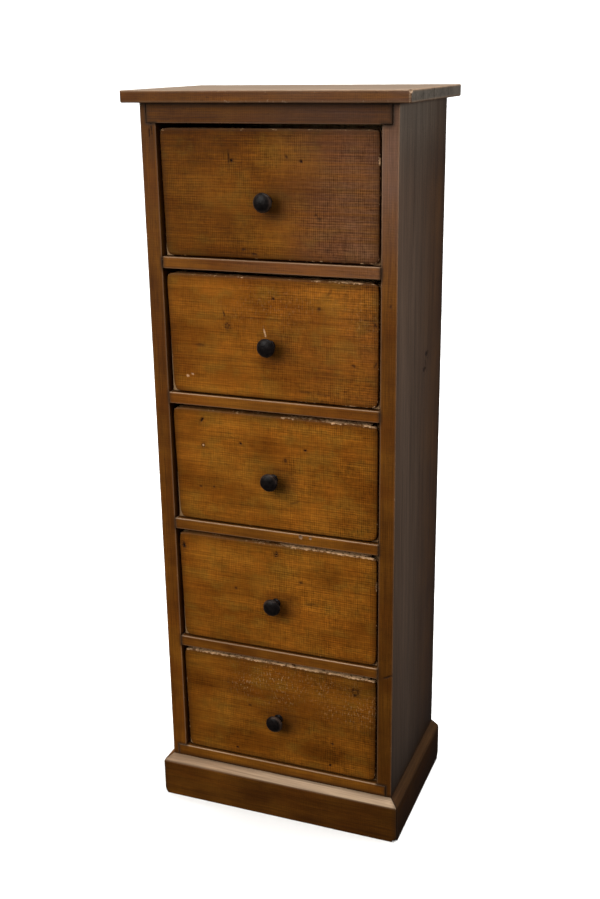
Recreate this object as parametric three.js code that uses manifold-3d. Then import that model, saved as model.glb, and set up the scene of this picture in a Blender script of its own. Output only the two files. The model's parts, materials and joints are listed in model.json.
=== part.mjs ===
// A tall, narrow pine chest: a carcass of solid boards, five equal inset drawers with one mushroom knob each,
// an overhanging top board and a chamfered plinth round the front and the sides.
//
// Millimetres, +Z up. Seen from the front, which faces -Y, X runs to the right. The origin is on the floor,
// in the middle of the whole object's width and depth.

import * as THREE from 'three';
import { mergeVertices } from 'three/addons/utils/BufferGeometryUtils.js';
import Module from 'manifold-3d';

const wasm = await Module();
wasm.setup();

// ---- Driving dimensions -------------------------------------------------------------------------------

const DRAWERS = 5;
const FIT = 0.3; // the gap all round a tenon, lap or tongue in its housing
const PAST = 1; // how far a cutting tool runs out past the face that it cuts through
const WELD = 1e-4; // corners closer than this are one corner
const CORNER_STEPS = 4; // flat faces round a board's corner
const CURVE_STEPS = 3; // flat faces along each curve of a knob or a moulding
const KNOB_SIDES = 24; // flat faces round a knob and round its screw's hole
const SCREW_SIDES = 12; // flat faces round a screw

const carcass = { width: 400, depth: 260, side: 25 };
const topBoard = { thickness: 18, frontOverhang: 20, sideOverhang: 22, corner: 3, ease: 1.5 };
const opening = { height: 197 };
const topRail = { height: 29, depth: 25, lap: 15 };
const backRail = { thickness: 18, depth: 60 };
const divider = { thickness: 18, depth: 60, tenonLength: 12, tenonThickness: 10, tenonInset: 8 };
const bottomRail = { top: 96, height: 50, depth: 25, lap: 15 };
const bottomBoard = { thickness: 12, bottom: 56, tongue: 8 };
const backPanel = { thickness: 6, rebate: 8, bottom: 40 };
const runner = { width: 20, thickness: 18, endGap: 1 };
const plinth = { projection: 14, innerHeight: 77, outerHeight: 67, round: 4 };

const front = { sideGap: 3.5, topGap: 7, bottomGap: 2, recess: 3.5, thickness: 18, corner: 5, ease: 3 };
const box = { board: 12, runnerGap: 0.5, topGap: 11, rearGap: 0.5 };
const boxBack = { housing: 4, setback: 4.5, drop: 10 };
const drawerBottom = { thickness: 5, height: 10, groove: 6 };

const knob = { length: 25.5, footRadius: 8, neckRadius: 5.5, headRadius: 14.75, belowMiddle: 11 };
// Heights above the drawer's face, up a knob: the foot's rim, the neck and the widest part of the head.
const knobLevels = { foot: 1.5, neck: 9, underHead: 17, head: 19, shoulder: 23 };
const screw = { radius: 2, length: 33, headRadius: 4, headHeight: 2.5, slotWidth: 1, slotDepth: 1.2 };
const screwHole = { throughRadius: 2.5, knobRadius: 2.3, knobDepth: 17 };

// ---- Derived levels and places ------------------------------------------------------------------------

const half = carcass.width / 2;
const inner = half - carcass.side;
const frontY = (knob.length - front.recess - carcass.depth) / 2;
const backY = frontY + carcass.depth;
const panelY = backY - backPanel.thickness;
const pitch = opening.height + divider.thickness;
const topRailBottom = bottomRail.top + DRAWERS * pitch - divider.thickness;
const carcassTop = topRailBottom + topRail.height;

// The level of an opening's floor; opening 1 is the highest.
function openingFloor(number) {
  return bottomRail.top + (DRAWERS - number) * pitch;
}

// ---- Finishes -----------------------------------------------------------------------------------------

const finishes = {
  framePine: { color: 0x7a4a20, roughness: 0.55, metalness: 0 },
  frontPine: { color: 0x8a5420, roughness: 0.5, metalness: 0 },
  rawPine: { color: 0xb98a58, roughness: 0.8, metalness: 0 },
  plywood: { color: 0xa87c4e, roughness: 0.85, metalness: 0 },
  blackMetal: { color: 0x1c1917, roughness: 0.38, metalness: 0.8 },
  steel: { color: 0x8d8f90, roughness: 0.4, metalness: 1 },
};

function part(name, geometry, finish) {
  const mesh = new THREE.Mesh(geometry, new THREE.MeshStandardMaterial(finishes[finish]));
  mesh.name = name;
  return mesh;
}

// ---- Solids -------------------------------------------------------------------------------------------

// A board between two corners, each given as [x, y, z].
function block(low, high) {
  const size = high.map((value, axis) => value - low[axis]);
  const geometry = new THREE.BoxGeometry(...size);
  return geometry.translate(...low.map((value, axis) => value + size[axis] / 2));
}

// The board that a housing for another board takes away: larger by the fit on every side.
function housing(low, high) {
  return block(low.map((value) => value - FIT), high.map((value) => value + FIT));
}

function toSolid(geometry) {
  const bare = geometry.clone();
  bare.deleteAttribute('normal');
  bare.deleteAttribute('uv');
  const merged = mergeVertices(bare, WELD);
  const vertProperties = new Float32Array(merged.attributes.position.array);
  return new wasm.Manifold(
    new wasm.Mesh({ numProp: 3, vertProperties, triVerts: new Uint32Array(merged.index.array) }),
  );
}

function toGeometry(solid) {
  const { vertProperties, triVerts } = solid.getMesh();
  const geometry = new THREE.BufferGeometry();
  geometry.setAttribute('position', new THREE.BufferAttribute(vertProperties, 3));
  geometry.setIndex(new THREE.BufferAttribute(triVerts, 1));
  return geometry;
}

function cut(geometry, ...tools) {
  const left = tools.reduce((solid, tool) => solid.subtract(toSolid(tool)), toSolid(geometry));
  return toGeometry(left);
}

function join(first, second) {
  return toGeometry(toSolid(first).add(toSolid(second)));
}

// A panel that lies in the XY plane from z = 0 upwards, with round corners and eased edges.
function easedPanel(width, height, thickness, { corner, ease }, steps) {
  const x = width / 2 - corner;
  const y = height / 2 - corner;
  const outline = new THREE.Shape();
  outline.absarc(x, y, corner, 0, Math.PI / 2);
  outline.absarc(-x, y, corner, Math.PI / 2, Math.PI);
  outline.absarc(-x, -y, corner, Math.PI, 1.5 * Math.PI);
  outline.absarc(x, -y, corner, 1.5 * Math.PI, 2 * Math.PI);
  const geometry = new THREE.ExtrudeGeometry(outline, {
    depth: thickness - 2 * ease,
    bevelThickness: ease,
    bevelSize: ease,
    bevelOffset: -ease,
    bevelSegments: steps,
    curveSegments: CORNER_STEPS,
  });
  return geometry.translate(0, 0, ease);
}

// A mesh made for the left, seen in a mirror that stands on the YZ plane.
function mirrored(mesh) {
  mesh.scale.x = -1;
  return mesh;
}

// ---- Carcass ------------------------------------------------------------------------------------------

// Each pair of corners is one board, at its place in the chest.
const topRailCorners = [
  [-inner - topRail.lap, frontY, topRailBottom],
  [inner + topRail.lap, frontY + topRail.depth, carcassTop],
];
const bottomRailCorners = [
  [-inner - bottomRail.lap, frontY, bottomRail.top - bottomRail.height],
  [inner + bottomRail.lap, frontY + bottomRail.depth, bottomRail.top],
];
const bottomBoardCorners = [
  [-inner - bottomBoard.tongue, frontY + bottomRail.depth, bottomBoard.bottom],
  [inner + bottomBoard.tongue, panelY, bottomBoard.bottom + bottomBoard.thickness],
];

function tenonCorners(floor) {
  const middle = floor - divider.thickness / 2;
  return [
    [-inner - divider.tenonLength, frontY + divider.tenonInset, middle - divider.tenonThickness / 2],
    [inner + divider.tenonLength, frontY + divider.depth - divider.tenonInset,
      middle + divider.tenonThickness / 2],
  ];
}

// The left side board, housed for the two lapped rails, the dividers' tenons, the bottom board and the back.
function sidePanel() {
  const board = block([-half, frontY, 0], [-inner, backY, carcassTop]);
  const backRebate = block(
    [-inner - backPanel.rebate, panelY, -PAST],
    [-inner + PAST, backY + PAST, carcassTop + PAST],
  );
  const housings = [topRailCorners, bottomRailCorners, bottomBoardCorners].map((pair) => housing(...pair));
  for (let number = 1; number < DRAWERS; number += 1) {
    housings.push(housing(...tenonCorners(openingFloor(number))));
  }
  return cut(board, backRebate, ...housings);
}

function dividerRail(number) {
  const floor = openingFloor(number);
  const rail = block(
    [-inner, frontY, floor - divider.thickness],
    [inner, frontY + divider.depth, floor],
  );
  return join(rail, block(...tenonCorners(floor)));
}

// The left runner, on which the left side of a drawer slides, behind the rail at the same level.
function drawerRunner(number) {
  const floor = openingFloor(number);
  const railDepth = number === DRAWERS ? bottomRail.depth : divider.depth;
  return block(
    [-inner, frontY + railDepth, floor - runner.thickness],
    [-inner + runner.width, panelY - runner.endGap, floor],
  );
}

function top() {
  const width = carcass.width + 2 * topBoard.sideOverhang;
  const depth = carcass.depth + topBoard.frontOverhang;
  const board = easedPanel(width, depth, topBoard.thickness, topBoard, 1);
  return board.translate(0, (frontY - topBoard.frontOverhang + backY) / 2, carcassTop);
}

function topRailBack() {
  const lowest = carcassTop - backRail.thickness;
  return block([-inner, panelY - backRail.depth, lowest], [inner, panelY, carcassTop]);
}

function back() {
  const reach = inner + backPanel.rebate - FIT;
  return block([-reach, panelY, backPanel.bottom], [reach, backY, carcassTop]);
}

function bottom() {
  const [low, high] = bottomBoardCorners;
  return block([low[0], low[1] + FIT, low[2]], [high[0], high[1] - FIT, high[2]]);
}

// A length of plinth along X against a wall at y = 0, which it stands out from towards -Y.
// Its left and right ends are mitred where leftMitre and rightMitre are 1, and square where they are 0.
function plinthBoard(length, leftMitre, rightMitre) {
  const { projection, innerHeight, outerHeight, round } = plinth;
  const rise = (round * (innerHeight - outerHeight)) / projection;
  const section = new THREE.Shape();
  section.moveTo(0, 0);
  section.lineTo(-projection, 0);
  section.lineTo(-projection, outerHeight - round);
  section.quadraticCurveTo(-projection, outerHeight, round - projection, outerHeight + rise);
  section.lineTo(0, innerHeight);
  section.closePath();
  const board = new THREE.ExtrudeGeometry(section, {
    depth: length,
    bevelEnabled: false,
    curveSegments: CURVE_STEPS,
  });
  const place = board.attributes.position;
  for (let i = 0; i < place.count; i += 1) {
    const y = place.getX(i);
    const z = place.getY(i);
    const along = place.getZ(i);
    const spread = along > length / 2 ? -y * rightMitre : y * leftMitre;
    place.setXYZ(i, along - length / 2 + spread, y, z);
  }
  return board;
}

function frontPlinth() {
  return plinthBoard(carcass.width, 1, 1).translate(0, frontY, 0);
}

// The left side's plinth: its mitre stands back from the front board's by the fit.
function sidePlinth() {
  const length = carcass.depth - FIT;
  const board = plinthBoard(length, 0, 1).rotateZ(-Math.PI / 2);
  return board.translate(-half, backY - length / 2, 0);
}

function makeCarcass() {
  const group = new THREE.Group();
  const side = sidePanel();
  const skirt = sidePlinth();
  group.add(
    part('side_panel_left', side, 'framePine'),
    mirrored(part('side_panel_right', side, 'framePine')),
    part('top_board', top(), 'framePine'),
    part('top_rail_front', block(...topRailCorners), 'framePine'),
    part('top_rail_back', topRailBack(), 'rawPine'),
    part('bottom_rail_front', block(...bottomRailCorners), 'framePine'),
    part('bottom_board', bottom(), 'rawPine'),
    part('back_panel', back(), 'plywood'),
    part('plinth_front', frontPlinth(), 'framePine'),
    part('plinth_left', skirt, 'framePine'),
    mirrored(part('plinth_right', skirt, 'framePine')),
  );
  for (let number = 1; number < DRAWERS; number += 1) {
    group.add(part(`divider_rail_${number}`, dividerRail(number), 'framePine'));
  }
  for (let number = 1; number <= DRAWERS; number += 1) {
    const strip = drawerRunner(number);
    group.add(part(`runner_${number}_left`, strip, 'rawPine'));
    group.add(mirrored(part(`runner_${number}_right`, strip, 'rawPine')));
  }
  return group;
}

// ---- Drawers: modelled with the floor of their opening at z = 0 ----------------------------------------

const faceY = frontY + front.recess;
const rearOfFrontY = faceY + front.thickness;
const drawerHalf = inner - front.sideGap;
const drawerInner = drawerHalf - box.board;
const lapY = rearOfFrontY - box.board;
const drawerRearY = panelY - box.rearGap;
const boxTop = opening.height - box.topGap;
const knobZ = opening.height / 2 - knob.belowMiddle;
const bottomHighest = drawerBottom.height + drawerBottom.thickness;

const backCorners = [
  [-drawerInner - boxBack.housing, drawerRearY - boxBack.setback - box.board, bottomHighest + FIT],
  [drawerInner + boxBack.housing, drawerRearY - boxBack.setback, boxTop - boxBack.drop],
];
const bottomCorners = [
  [-drawerInner - drawerBottom.groove, rearOfFrontY - drawerBottom.groove, drawerBottom.height],
  [drawerInner + drawerBottom.groove, drawerRearY, bottomHighest],
];

// The front: round edges before, square behind, lapped over both sides and grooved for the bottom.
function drawerFront() {
  const height = opening.height - front.topGap - front.bottomGap;
  const blank = easedPanel(2 * drawerHalf, height, front.thickness + front.ease, front, 3);
  blank.rotateX(Math.PI / 2).translate(0, faceY + front.thickness + front.ease, height / 2 + front.bottomGap);
  const behind = block(
    [-inner, rearOfFrontY, 0],
    [inner, rearOfFrontY + 2 * front.ease, opening.height],
  );
  const leftLap = block([-inner, lapY, 0], [-drawerInner + FIT, rearOfFrontY + PAST, opening.height]);
  const rightLap = block([drawerInner - FIT, lapY, 0], [inner, rearOfFrontY + PAST, opening.height]);
  const { throughRadius } = screwHole;
  const hole = new THREE.CylinderGeometry(throughRadius, throughRadius, 3 * front.thickness, KNOB_SIDES);
  hole.translate(0, rearOfFrontY, knobZ);
  return cut(blank, behind, leftLap, rightLap, housing(...bottomCorners), hole);
}

// The left side, housed for the back and grooved for the bottom.
function drawerSide() {
  const board = block([-drawerHalf, lapY + FIT, box.runnerGap], [-drawerInner, drawerRearY, boxTop]);
  const backHousing = housing(
    [backCorners[0][0], backCorners[0][1], 0],
    [backCorners[1][0], backCorners[1][1], boxTop],
  );
  const [low, high] = bottomCorners;
  const groove = housing([low[0], low[1] - PAST, low[2]], [high[0], high[1] + PAST, high[2]]);
  return cut(board, backHousing, groove);
}

// The knob's outline along its own axis, out of the face of the drawer: screw hole, foot, neck and head.
function knobOutline() {
  const { length, footRadius, neckRadius, headRadius } = knob;
  const { foot, neck, underHead, head, shoulder } = knobLevels;
  const lipRadius = 0.95 * headRadius;
  const shoulderRadius = 0.82 * headRadius;
  const outline = new THREE.Path();
  outline.moveTo(0, screwHole.knobDepth);
  outline.lineTo(screwHole.knobRadius, screwHole.knobDepth);
  outline.lineTo(screwHole.knobRadius, 0);
  outline.lineTo(footRadius, 0);
  outline.lineTo(footRadius, foot);
  outline.quadraticCurveTo(neckRadius, neck / 2, neckRadius, neck);
  outline.quadraticCurveTo(neckRadius, (neck + underHead) / 2, lipRadius, underHead);
  outline.quadraticCurveTo(headRadius, underHead, headRadius, head);
  outline.quadraticCurveTo(headRadius, shoulder, shoulderRadius, shoulder);
  outline.quadraticCurveTo(headRadius / 2, length, 0, length);
  return outline.getPoints(CURVE_STEPS);
}

// The screw's outline along its own axis, from the round edge of its head to the end of its shank.
function screwOutline() {
  const { radius, length, headRadius, headHeight } = screw;
  return [
    new THREE.Vector2(0, -headHeight),
    new THREE.Vector2(0.7 * headRadius, -headHeight),
    new THREE.Vector2(headRadius, -headHeight / 2),
    new THREE.Vector2(headRadius, 0),
    new THREE.Vector2(radius, 0),
    new THREE.Vector2(radius, length),
    new THREE.Vector2(0, length),
  ];
}

// A turned piece whose axis points forwards, with its foot at y.
function turned(outline, sides, y) {
  return new THREE.LatheGeometry(outline, sides).rotateX(Math.PI).translate(0, y, knobZ);
}

function knobScrew() {
  const blank = turned(screwOutline(), SCREW_SIDES, rearOfFrontY);
  const headY = rearOfFrontY + screw.headHeight;
  const slot = block(
    [-screw.headRadius - PAST, headY - screw.slotDepth, knobZ - screw.slotWidth / 2],
    [screw.headRadius + PAST, headY + PAST, knobZ + screw.slotWidth / 2],
  );
  return cut(blank, slot);
}

function drawerBack() {
  const [low, high] = backCorners;
  return block(low, high);
}

function drawerFloor() {
  return block(...bottomCorners);
}

const drawerShapes = {
  front: drawerFront(),
  side: drawerSide(),
  back: drawerBack(),
  bottom: drawerFloor(),
  knob: turned(knobOutline(), KNOB_SIDES, faceY),
  screw: knobScrew(),
};

function makeDrawer(number) {
  const group = new THREE.Group();
  group.position.z = openingFloor(number);
  group.add(
    part(`drawer_${number}_front`, drawerShapes.front, 'frontPine'),
    part(`drawer_${number}_side_left`, drawerShapes.side, 'rawPine'),
    mirrored(part(`drawer_${number}_side_right`, drawerShapes.side, 'rawPine')),
    part(`drawer_${number}_back`, drawerShapes.back, 'rawPine'),
    part(`drawer_${number}_bottom`, drawerShapes.bottom, 'plywood'),
    part(`drawer_${number}_knob`, drawerShapes.knob, 'blackMetal'),
    part(`drawer_${number}_knob_screw`, drawerShapes.screw, 'steel'),
  );
  return group;
}

// ---- The chest ----------------------------------------------------------------------------------------

const chest = new THREE.Group();
chest.add(makeCarcass());
for (let number = 1; number <= DRAWERS; number += 1) {
  chest.add(makeDrawer(number));
}

export default chest;
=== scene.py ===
"""The looks of a tall chest of drawers: worn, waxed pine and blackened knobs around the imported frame.

Meshes are made in millimetres in the row frame, and written in metres.
"""

import json
import math
import re
from collections import namedtuple

import bmesh
import bpy
import numpy as np
from mathutils import Matrix, Vector, noise
from mathutils.bvhtree import BVHTree


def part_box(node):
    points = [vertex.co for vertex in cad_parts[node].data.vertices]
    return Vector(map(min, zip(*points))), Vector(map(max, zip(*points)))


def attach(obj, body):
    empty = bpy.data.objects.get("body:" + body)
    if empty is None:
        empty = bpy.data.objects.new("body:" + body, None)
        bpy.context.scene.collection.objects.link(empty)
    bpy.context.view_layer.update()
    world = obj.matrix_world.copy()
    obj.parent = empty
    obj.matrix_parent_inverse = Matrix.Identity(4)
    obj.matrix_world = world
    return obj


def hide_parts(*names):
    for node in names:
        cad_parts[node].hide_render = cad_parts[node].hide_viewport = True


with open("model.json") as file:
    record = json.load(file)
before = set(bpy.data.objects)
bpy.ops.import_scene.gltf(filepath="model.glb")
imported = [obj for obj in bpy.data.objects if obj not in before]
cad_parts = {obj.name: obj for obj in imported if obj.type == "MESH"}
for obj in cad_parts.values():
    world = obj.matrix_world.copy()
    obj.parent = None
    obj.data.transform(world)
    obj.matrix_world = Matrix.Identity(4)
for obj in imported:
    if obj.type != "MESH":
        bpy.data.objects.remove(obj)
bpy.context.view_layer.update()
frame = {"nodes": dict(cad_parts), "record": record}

MM = 0.001
DRAWERS = range(1, 6)
BODY_OF = {node: body for body, nodes in frame["record"]["behaviour"]["bodies"].items() for node in nodes}


# ---- Places and random fields ----


def box_mm(node):
    """Lowest and highest corner of a CAD node, in millimetres."""
    low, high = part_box(node)
    return np.array(low) / MM, np.array(high) / MM


def kind_of(node):
    """A node's name without its number and its side."""
    return re.sub(r"_(\d|left|right)", "", node)


def share_along(points, axis, low, high):
    """How far along a box the points are on one axis, from 0 to 1."""
    return (points[:, axis] - low[axis]) / (high[axis] - low[axis])


def drawer_number(node):
    """Which drawer a node belongs to."""
    return int(node.split("_")[1])


def ripple(points, spacing, octaves=2, seed=0.0):
    """Smooth random heights, about -1 to 1, with features as far apart as the spacing."""
    scaled = points / spacing + (seed, seed * 1.7, -seed)
    return np.array([noise.fractal(Vector(point), 1.0, 2.0, octaves) for point in scaled])


def ramp(values, start, end):
    """Smooth steps from 0 at start to 1 at end."""
    share = np.clip((values - start) / (end - start), 0.0, 1.0)
    return share * share * (3.0 - 2.0 * share)


def edge_distance(points, segments):
    """How far each point is from the nearest of the segments."""
    nearest = np.full(len(points), np.inf)
    for start, end in segments:
        along = end - start
        share = np.clip((points - start) @ along / (along @ along), 0.0, 1.0)
        nearest = np.minimum(nearest, np.linalg.norm(points - start - share[:, None] * along, axis=1))
    return nearest


# ---- Mesh making ----


def clean_copy(node):
    """A mesh of a CAD node in millimetres, with its flat triangles joined into whole faces."""
    mesh = bmesh.new()
    mesh.from_mesh(frame["nodes"][node].data)
    bmesh.ops.scale(mesh, vec=(1 / MM,) * 3, verts=mesh.verts)
    bmesh.ops.remove_doubles(mesh, verts=mesh.verts, dist=0.001)
    flat = math.radians(1)
    bmesh.ops.dissolve_limit(mesh, angle_limit=flat, verts=mesh.verts, edges=mesh.edges)
    return mesh


def sharp_edges(mesh, least=math.radians(20)):
    """The outward edges where the surface turns by more than the least angle."""
    return [edge for edge in mesh.edges if edge.is_manifold and edge.calc_face_angle_signed(0) > least]


def slice_across(mesh, axis, places):
    """Cuts every face where it crosses the planes at those places along an axis."""
    normal = Vector((0, 0, 0))
    normal[axis] = 1
    for place in places:
        everything = mesh.verts[:] + mesh.edges[:] + mesh.faces[:]
        bmesh.ops.bisect_plane(mesh, geom=everything, dist=0.01, plane_co=normal * place, plane_no=normal)


def slice_places(low, high, step, borders):
    """An even grid between two faces, with closer slices beside each face."""
    even = np.linspace(low, high, max(2, round((high - low) / step)) + 1)[1:-1]
    if high - low < 4 * borders[-1]:
        return even
    clear = borders[-1] + step / 3
    beside = [low + border for border in borders] + [high - border for border in borders]
    return sorted(beside + [place for place in even if low + clear < place < high - clear])


def slice_grid(mesh, low, high, step, borders):
    """Slices a board into a grid, along its shortest side last, because the work grows with each slice."""
    for axis in np.argsort(low - high):
        slice_across(mesh, axis, slice_places(low[axis], high[axis], step, borders))


def refine(mesh, centre, reach, cuts=3):
    """Divides the faces that lie within reach of a point more finely."""
    centre = Vector(centre)
    near = [edge for edge in mesh.edges if all((vert.co - centre).length < reach for vert in edge.verts)]
    bmesh.ops.subdivide_edges(mesh, edges=near, cuts=cuts, use_grid_fill=True)


def points_of(mesh):
    """Where each vertex is."""
    return np.array([vert.co[:] for vert in mesh.verts])


def normals_of(mesh):
    """Which way the surface faces at each vertex."""
    mesh.normal_update()
    return np.array([vert.normal[:] for vert in mesh.verts])


def move_points(mesh, points):
    """Puts each vertex at its new point."""
    for vert, point in zip(mesh.verts, points):
        vert.co = point


def join_rings(mesh, rings):
    """Joins each ring of vertices to the next one with a band of four-sided faces."""
    for lower, upper in zip(rings, rings[1:]):
        for side in range(len(lower)):
            after = (side + 1) % len(lower)
            mesh.faces.new((lower[side], lower[after], upper[after], upper[side]))


def smooth_mesh(mesh, name):
    """A smooth-shaded Blender mesh made of the working one, which is let go."""
    data = bpy.data.meshes.new(name)
    mesh.to_mesh(data)
    mesh.free()
    data.shade_smooth()
    return data


def add_object(name, data):
    """A new object in the scene."""
    thing = bpy.data.objects.new(name, data)
    bpy.context.scene.collection.objects.link(thing)
    return thing


def finish_piece(mesh, name, node, material, fields):
    """Turns a mesh in millimetres into the piece that stands for a CAD node and rides with its body."""
    crowded = [face for face in mesh.faces if len(face.verts) > 4]
    bmesh.ops.triangulate(mesh, faces=crowded)
    bmesh.ops.scale(mesh, vec=(MM,) * 3, verts=mesh.verts)
    bmesh.ops.recalc_face_normals(mesh, faces=mesh.faces)
    data = smooth_mesh(mesh, name)
    for label, values in fields.items():
        data.attributes.new(label, "FLOAT", "POINT").data.foreach_set("value", values.astype(np.float32))
    data.materials.append(material)
    piece = add_object(name, data)
    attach(piece, BODY_OF[node])
    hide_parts(node)
    return piece


# ---- Shaders ----

# Places of the colour sockets on a Mix node, whose names repeat for each data type.
MIX_SHARE, MIX_FIRST, MIX_SECOND, MIX_RESULT = 0, 6, 7, 2
# A wave texture turns by 20 radians a unit.
WAVE_RATE = 20


class Shader:
    """A Principled material, with short ways to add the nodes that colour it."""

    def __init__(self, name, specular, metallic=0.0):
        self.material = bpy.data.materials.new(name)
        self.material.use_nodes = True
        self.nodes = self.material.node_tree.nodes
        self.links = self.material.node_tree.links
        self.surface = self.nodes["Principled BSDF"]
        self.surface.inputs["Specular IOR Level"].default_value = specular
        self.surface.inputs["Metallic"].default_value = metallic
        self.place = self.nodes.new("ShaderNodeTexCoord").outputs["Object"]

    def feed(self, socket, value):
        """Links a socket to an output, or sets the socket to a constant."""
        if isinstance(value, bpy.types.NodeSocket):
            self.links.new(value, socket)
        else:
            socket.default_value = value

    def add(self, kind, sockets, **settings):
        """The outputs of a new node, with what goes into its sockets and with its settings."""
        node = self.nodes.new(kind)
        for name, value in settings.items():
            setattr(node, name, value)
        for name, value in sockets.items():
            self.feed(node.inputs[name], value)
        return node.outputs

    def math(self, operation, first, second):
        """A sum, a product or the like of two numbers."""
        return self.add("ShaderNodeMath", {0: first, 1: second}, operation=operation)[0]

    def plus(self, first, second):
        return self.math("ADD", first, second)

    def times(self, first, second):
        return self.math("MULTIPLY", first, second)

    def field(self, label):
        """A number that the mesh holds at each point."""
        return self.add("ShaderNodeAttribute", {}, attribute_name=label)["Fac"]

    def noise(self, scales, detail=2.0, rough=0.5, distortion=0.0):
        """Cloudy noise from 0 to 1. The scales are features per metre along X, Y and Z."""
        place = self.add("ShaderNodeVectorMath", {0: self.place, 1: scales}, operation="MULTIPLY")[0]
        sockets = {"Vector": place, "Scale": 1.0, "Detail": detail, "Roughness": rough}
        return self.add("ShaderNodeTexNoise", sockets | {"Distortion": distortion})["Fac"]

    def threads(self, axis, spacing, waver):
        """Fine parallel lines across an axis, from 0 to 1, with the spacing in metres."""
        sockets = {
            "Vector": self.place,
            "Scale": 2 * math.pi / WAVE_RATE / spacing,
            "Distortion": waver,
            "Detail": 2.0,
            "Detail Scale": 0.6,
        }
        return self.add("ShaderNodeTexWave", sockets, wave_type="BANDS", bands_direction=axis)["Fac"]

    def spread(self, value, start, end, low=0.0, high=1.0):
        """Maps start..end to low..high, and holds it there."""
        sockets = {"Value": value, "From Min": start, "From Max": end, "To Min": low, "To Max": high}
        return self.add("ShaderNodeMapRange", sockets)["Result"]

    def swing(self, noise, low, high):
        """Maps the usual range of a noise to low..high."""
        return self.spread(noise, 0.3, 0.7, low, high)

    def blend(self, share, first, second):
        """The first colour turning into the second."""
        sockets = {MIX_SHARE: share}
        for place, colour in ((MIX_FIRST, first), (MIX_SECOND, second)):
            sockets[place] = colour if isinstance(colour, bpy.types.NodeSocket) else (*colour, 1)
        return self.add("ShaderNodeMix", sockets, data_type="RGBA")[MIX_RESULT]

    def shade(self, colour, factor):
        """A colour made darker or lighter by a number."""
        return self.add("ShaderNodeVectorMath", {0: colour, "Scale": factor}, operation="SCALE")[0]

    def bump(self, height, depth):
        """Raises the surface by the height, from 0 to 1, times a depth in metres."""
        normal = self.add("ShaderNodeBump", {"Height": height, "Distance": depth})["Normal"]
        self.feed(self.surface.inputs["Normal"], normal)

    def done(self, colour, roughness):
        """The finished material."""
        self.feed(self.surface.inputs["Base Color"], colour)
        self.feed(self.surface.inputs["Roughness"], roughness)
        return self.material


def along(axis, lengthways, across):
    """Scales for the three axes, low along the grain and high across it."""
    return tuple(lengthways if letter == axis else across for letter in "XYZ")


# The palest colour of each stain shows on worn edges, and on the frame's boards also as a thin painted
# highlight along every edge.
Stain = namedtuple("Stain", "dark light streak bare")
DRAWER_STAIN = Stain(
    dark=(0.150, 0.046, 0.0034),
    light=(0.318, 0.110, 0.0094),
    streak=(0.070, 0.020, 0.0030),
    bare=(0.800, 0.500, 0.270),
)
FRAME_STAIN = Stain(
    dark=(0.104, 0.031, 0.0020),
    light=(0.222, 0.078, 0.0060),
    streak=(0.050, 0.015, 0.0030),
    bare=(0.300, 0.190, 0.115),
)
RUSSET = (0.190, 0.050, 0.0025)
GOLDEN = (0.330, 0.132, 0.0130)
ORANGE = (0.300, 0.078, 0.0050)
OLIVE = (0.215, 0.104, 0.0120)
PURPLE = (0.195, 0.112, 0.088)
# The side boards' outer faces, darker and greyer than the stain: painted shade and a painted sheen.
SIDE_SHADE_SHEEN_DARK = (0.104, 0.062, 0.039)
SIDE_SHADE_SHEEN_LIGHT = (0.132, 0.082, 0.054)
# A paler, greyer painted sheen on the top board and at the tops of the side boards.
PAINTED_SHEEN_DARK = (0.080, 0.066, 0.052)
PAINTED_SHEEN_LIGHT = (0.120, 0.100, 0.079)
# A painted highlight on upward faces: the plinth's chamfer, the rails' upper edges and the top board.
UP_HIGHLIGHT_COLOUR = (0.600, 0.435, 0.285)
MARK_DARK = (0.015, 0.007, 0.004)
# Soiling and painted shade: in creases, along drawer fronts' edges and round the knobs.
DIRT_AND_SHADE = (0.022, 0.010, 0.004)
SPECK = (0.520, 0.300, 0.130)
# Wood without a finish.
Raw = namedtuple("Raw", "light dark line handled grime")
PINE = Raw(
    (0.50, 0.31, 0.150), (0.36, 0.195, 0.075), (0.20, 0.10, 0.04), (0.24, 0.13, 0.06), (0.16, 0.09, 0.045)
)
PLYWOOD = Raw(
    (0.40, 0.25, 0.125), (0.27, 0.15, 0.065), (0.18, 0.095, 0.040), (0.17, 0.11, 0.065), (0.14, 0.085, 0.045)
)
IRON_DARK = (0.0030, 0.0022, 0.0021)
IRON_LIGHT = (0.0090, 0.0066, 0.0062)
# A brown painted highlight on the knobs' rims.
IRON_HIGHLIGHT = (0.055, 0.034, 0.024)
ZINC_DARK = (0.34, 0.34, 0.36)
ZINC_LIGHT = (0.52, 0.52, 0.53)
ZINC_BRIGHT = (0.72, 0.72, 0.72)
RUST = (0.16, 0.075, 0.035)

# How far in worn edges reach, in millimetres.
STAIN_REACH = 3.8
PINE_REACH = 5.0
PLYWOOD_REACH = 6.0
# How deep the grain of wood and the mottle of metal go, in metres.
PINE_DEPTH = 0.0004
PLYWOOD_DEPTH = 0.0003
IRON_DEPTH = 0.0003
ZINC_DEPTH = 0.0001
# The spacing of the upright and the level tool strokes, in metres, how much they waver, and their mean value.
UPRIGHT_SPACING = 0.0031
LEVEL_SPACING = 0.0037
STROKE_WAVER = 1.6
STROKE_MEAN = 0.52


def grain_of(shader, axis):
    """The growth bands, the fine fibres and the lines of a board, each from 0 to 1."""
    bands = shader.noise(along(axis, 2.2, 34), detail=4, rough=0.55, distortion=0.5)
    fibres = shader.noise(along(axis, 14, 620), detail=2, rough=0.6)
    lines = shader.noise(along(axis, 4, 210), detail=3, rough=0.5, distortion=0.3)
    return bands, fibres, lines


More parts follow.
